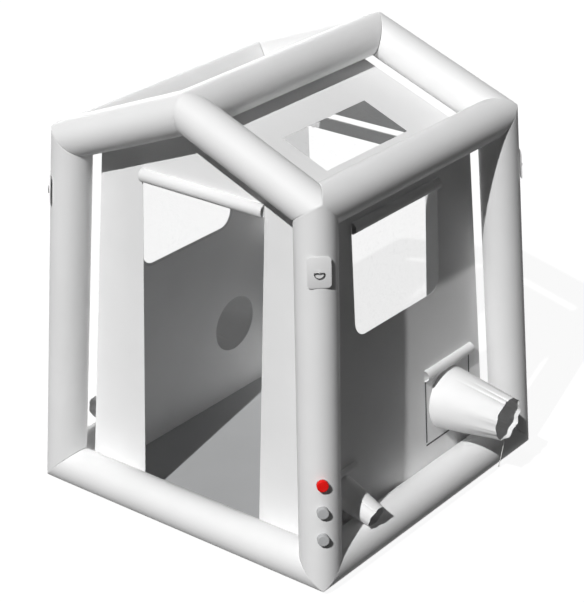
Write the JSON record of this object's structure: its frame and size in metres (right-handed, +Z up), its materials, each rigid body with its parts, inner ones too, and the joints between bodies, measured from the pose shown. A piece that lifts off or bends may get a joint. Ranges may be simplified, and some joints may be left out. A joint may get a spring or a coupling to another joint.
{
  "type": "decontamination tent",
  "caption": "Inflatable decontamination tent: air-beam frame, hung inner tent, rolled doors, clear windows, duct sleeves, valves and tie-down rings",
  "frame": {"origin": "on the ground, under the middle of the tent", "axes": "X to the right seen from the front gable, Y from the front gable to the back one, Z up"},
  "size_m": [2.6658, 2.292, 2.807],
  "materials": {
    "beam_fabric": "smooth white coated fabric, satin",
    "panel_fabric": "white coated polyester, satin",
    "floor_fabric": "grey coated fabric, satin",
    "clear_film": "clear flexible film, glossy",
    "hook_tape": "dark hook tape, matt",
    "drawcord": "braided white cord",
    "ring_steel": "dark coated steel wire",
    "valve_plastic": "moulded grey plastic",
    "red_plastic": "moulded red plastic"
  },
  "bodies": {
    "tent": {"ridge_beam": "beam_fabric", "ground_beam_front": "beam_fabric", "ground_beam_back": "beam_fabric", "ground_beam_left": "beam_fabric", "eave_beam_left": "beam_fabric", "leg_front_left": "beam_fabric", "rafter_front_left": "beam_fabric", "leg_back_left": "beam_fabric", "rafter_back_left": "beam_fabric", "ground_beam_right": "beam_fabric", "eave_beam_right": "beam_fabric", "leg_front_right": "beam_fabric", "rafter_front_right": "beam_fabric", "leg_back_right": "beam_fabric", "rafter_back_right": "beam_fabric", "gable_front": "panel_fabric", "gable_back": "panel_fabric", "wall_left": "panel_fabric", "wall_right": "panel_fabric", "roof_panel_left": "panel_fabric", "roof_panel_right": "panel_fabric", "door_roll_front": "panel_fabric", "door_roll_back": "panel_fabric", "window_roll_left": "panel_fabric", "window_roll_right": "panel_fabric", "air_cover_roll_left": "panel_fabric", "air_cover_roll_right": "panel_fabric", "hose_cover_roll_left": "panel_fabric", "hose_cover_roll_right": "panel_fabric", "air_sleeve_left": "panel_fabric", "air_sleeve_right": "panel_fabric", "hose_sleeve_left": "panel_fabric", "hose_sleeve_right": "panel_fabric", "tie_patch_front_left": "panel_fabric", "tie_patch_front_right": "panel_fabric", "tie_patch_back_left": "panel_fabric", "tie_patch_back_right": "panel_fabric", "floor_sheet": "floor_fabric", "window_film_left": "clear_film", "window_film_right": "clear_film", "skylight_film_left": "clear_film", "skylight_film_right": "clear_film", "cover_tape_left": "hook_tape", "cover_tape_right": "hook_tape", "drawcord_left": "drawcord", "drawcord_right": "drawcord", "deflate_valve_body": "valve_plastic", "inflate_valve_body": "valve_plastic", "relief_valve_body": "valve_plastic"},
    "tie_ring_front_left": {"tie_ring_front_left": "ring_steel"},
    "tie_ring_front_right": {"tie_ring_front_right": "ring_steel"},
    "tie_ring_back_left": {"tie_ring_back_left": "ring_steel"},
    "tie_ring_back_right": {"tie_ring_back_right": "ring_steel"},
    "deflate_valve_cap": {"deflate_valve_cap": "valve_plastic"},
    "deflate_valve_plunger": {"deflate_valve_plunger": "valve_plastic"},
    "inflate_valve_cap": {"inflate_valve_cap": "valve_plastic"},
    "inflate_valve_plunger": {"inflate_valve_plunger": "valve_plastic"},
    "relief_valve_cap": {"relief_valve_cap": "red_plastic"},
    "relief_valve_plunger": {"relief_valve_plunger": "valve_plastic"}
  },
  "joints": [
    {"name": "ring_hinge_front_left", "type": "hinge", "parent": "tent", "child": "tie_ring_front_left", "pos_m": [-1.02129, -1.02129, 2.01587], "axis": [-0.7071, 0.7071, 0], "range_deg": [0, 165]},
    {"name": "ring_hinge_front_right", "type": "hinge", "parent": "tent", "child": "tie_ring_front_right", "pos_m": [1.02129, -1.02129, 2.01587], "axis": [-0.7071, -0.7071, 0], "range_deg": [0, 165]},
    {"name": "ring_hinge_back_left", "type": "hinge", "parent": "tent", "child": "tie_ring_back_left", "pos_m": [-1.02129, 1.02129, 2.01587], "axis": [0.7071, 0.7071, 0], "range_deg": [0, 165]},
    {"name": "ring_hinge_back_right", "type": "hinge", "parent": "tent", "child": "tie_ring_back_right", "pos_m": [1.02129, 1.02129, 2.01587], "axis": [0.7071, -0.7071, 0], "range_deg": [0, 165]},
    {"name": "deflate_valve_cap_turn", "type": "hinge", "parent": "tent", "child": "deflate_valve_cap", "pos_m": [1.09602, -1.09602, 0.39102], "axis": [0.7053, -0.7053, 0.0721], "range_deg": [0, 90]},
    {"name": "deflate_valve_press", "type": "slide", "parent": "tent", "child": "deflate_valve_plunger", "axis": [-0.7053, 0.7053, -0.0721], "range_m": [0, 0.004], "stiffness_N_per_m": 300, "springref_m": -0.002},
    {"name": "inflate_valve_cap_turn", "type": "hinge", "parent": "tent", "child": "inflate_valve_cap", "pos_m": [1.0872, -1.0872, 0.56352], "axis": [0.7053, -0.7053, 0.0721], "range_deg": [0, 90]},
    {"name": "inflate_valve_press", "type": "slide", "parent": "tent", "child": "inflate_valve_plunger", "axis": [-0.7053, 0.7053, -0.0721], "range_m": [0, 0.004], "stiffness_N_per_m": 300, "springref_m": -0.002},
    {"name": "relief_valve_cap_turn", "type": "hinge", "parent": "tent", "child": "relief_valve_cap", "pos_m": [1.07837, -1.07837, 0.73602], "axis": [0.7053, -0.7053, 0.0721], "range_deg": [0, 90]},
    {"name": "relief_valve_press", "type": "slide", "parent": "tent", "child": "relief_valve_plunger", "axis": [-0.7053, 0.7053, -0.0721], "range_m": [0, 0.004], "stiffness_N_per_m": 300, "springref_m": -0.002}
  ]
}
